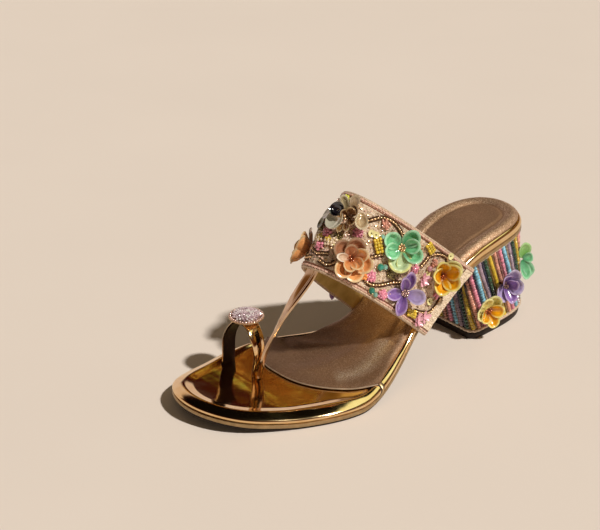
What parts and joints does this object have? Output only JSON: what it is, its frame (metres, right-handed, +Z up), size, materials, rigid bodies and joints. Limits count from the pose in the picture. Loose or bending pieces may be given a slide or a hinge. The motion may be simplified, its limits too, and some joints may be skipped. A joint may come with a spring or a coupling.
{
  "type": "block heel sandal",
  "caption": "Left toe-ring mule sandal on a beaded block heel: mirror-gold sole, padded insole, wide embroidered instep band with sequin flowers, centre strap and jewelled toe ring.",
  "frame": {"origin": "on the floor, at the middle of the heel top piece's flat underside", "axes": "+Z up; -Y towards the toe, +Y towards the back of the heel; +X towards the outer (lateral) side of the left foot"},
  "size_m": [0.0978, 0.2536, 0.1088],
  "materials": {
    "mirror_gold": "mirror-gold metallic leather",
    "tan_gold": "satin tan-gold leather",
    "pewter_leather": "grained pewter-bronze metallic leather",
    "sole_rubber": "dark brown rubber",
    "bead_covering": "strings of glass beads in several colours",
    "band_fabric": "glittery beige fabric with beads and cord",
    "crystal": "pale pink stones",
    "peach_sequin": "glossy sequin petals",
    "mint_sequin": "glossy sequin petals",
    "purple_sequin": "glossy sequin petals",
    "yellow_sequin": "glossy sequin petals",
    "lining_leather": "olive-gold metallic lining",
    "seed_beads": "glass seed beads and cup sequins"
  },
  "bodies": {
    "root": {"outsole": "sole_rubber", "welt": "tan_gold", "midsole": "mirror_gold", "insole": "pewter_leather", "heel_block": "bead_covering", "heel_top_piece": "sole_rubber", "upper": "band_fabric", "toe_ring": "mirror_gold", "button_tray": "tan_gold", "button_dome": "crystal", "flower_peach_lateral": "peach_sequin", "flower_peach_medial": "peach_sequin", "flower_mint_lateral": "mint_sequin", "flower_mint_medial": "mint_sequin", "flower_mint_heel_lat": "mint_sequin", "flower_mint_heel_med": "mint_sequin", "flower_purple_lateral": "purple_sequin", "flower_purple_medial": "purple_sequin", "flower_purple_heel_lat": "purple_sequin", "flower_purple_heel_med": "purple_sequin", "flower_yellow_lateral": "yellow_sequin", "flower_yellow_medial": "yellow_sequin", "flower_yellow_heel_lat": "yellow_sequin", "flower_yellow_heel_med": "yellow_sequin"}
  },
  "joints": []
}
